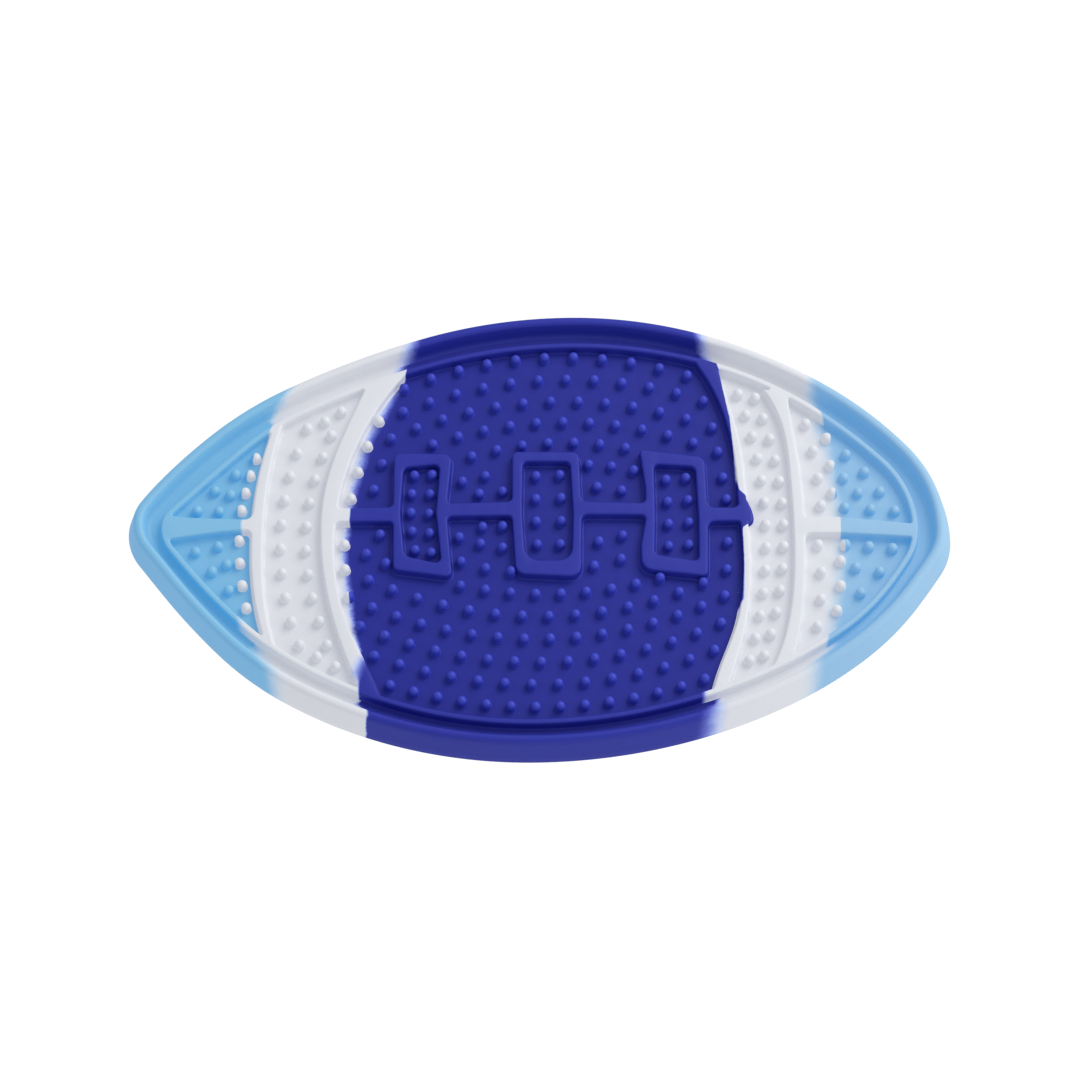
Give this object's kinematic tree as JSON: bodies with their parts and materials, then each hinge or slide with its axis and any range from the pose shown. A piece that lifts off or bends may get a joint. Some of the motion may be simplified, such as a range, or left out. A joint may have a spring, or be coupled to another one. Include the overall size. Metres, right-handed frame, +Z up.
{
  "type": "silicone lick mat",
  "caption": "Flat silicone lick mat in the outline of an American football, with a raised rim, stripe and lace ridges, domed nubs and suction cups underneath.",
  "frame": {"origin": "centre of the mat's bounding box at the height of its foot ring, where it rests", "axes": "+X along the length towards the right tip, +Y away from the side seen nearest, +Z up through the textured face"},
  "size_m": [0.2519, 0.148, 0.0105],
  "materials": {
    "light_blue_silicone": "satin moulded silicone",
    "white_silicone": "satin moulded silicone",
    "royal_blue_silicone": "satin moulded silicone"
  },
  "bodies": {
    "root": {"centre_border": "royal_blue_silicone", "centre_floor": "royal_blue_silicone", "centre_nubs": "royal_blue_silicone", "centre_rim": "royal_blue_silicone", "centre_suction_cups": "royal_blue_silicone", "lace_nubs": "white_silicone", "laces": "white_silicone", "left_band_border": "white_silicone", "left_band_floor": "white_silicone", "left_band_nubs": "white_silicone", "left_band_rim": "white_silicone", "left_band_suction_cups": "white_silicone", "left_inner_stripe": "white_silicone", "left_outer_stripe": "white_silicone", "left_tip_border": "light_blue_silicone", "left_tip_floor": "light_blue_silicone", "left_tip_nubs": "light_blue_silicone", "left_tip_rim": "light_blue_silicone", "left_tip_spine": "light_blue_silicone", "left_tip_suction_cups": "light_blue_silicone", "right_band_border": "white_silicone", "right_band_floor": "white_silicone", "right_band_nubs": "white_silicone", "right_band_rim": "white_silicone", "right_band_suction_cups": "white_silicone", "right_inner_stripe": "white_silicone", "right_outer_stripe": "white_silicone", "right_tip_border": "light_blue_silicone", "right_tip_floor": "light_blue_silicone", "right_tip_nubs": "light_blue_silicone", "right_tip_rim": "light_blue_silicone", "right_tip_spine": "light_blue_silicone", "right_tip_suction_cups": "light_blue_silicone"}
  },
  "joints": []
}
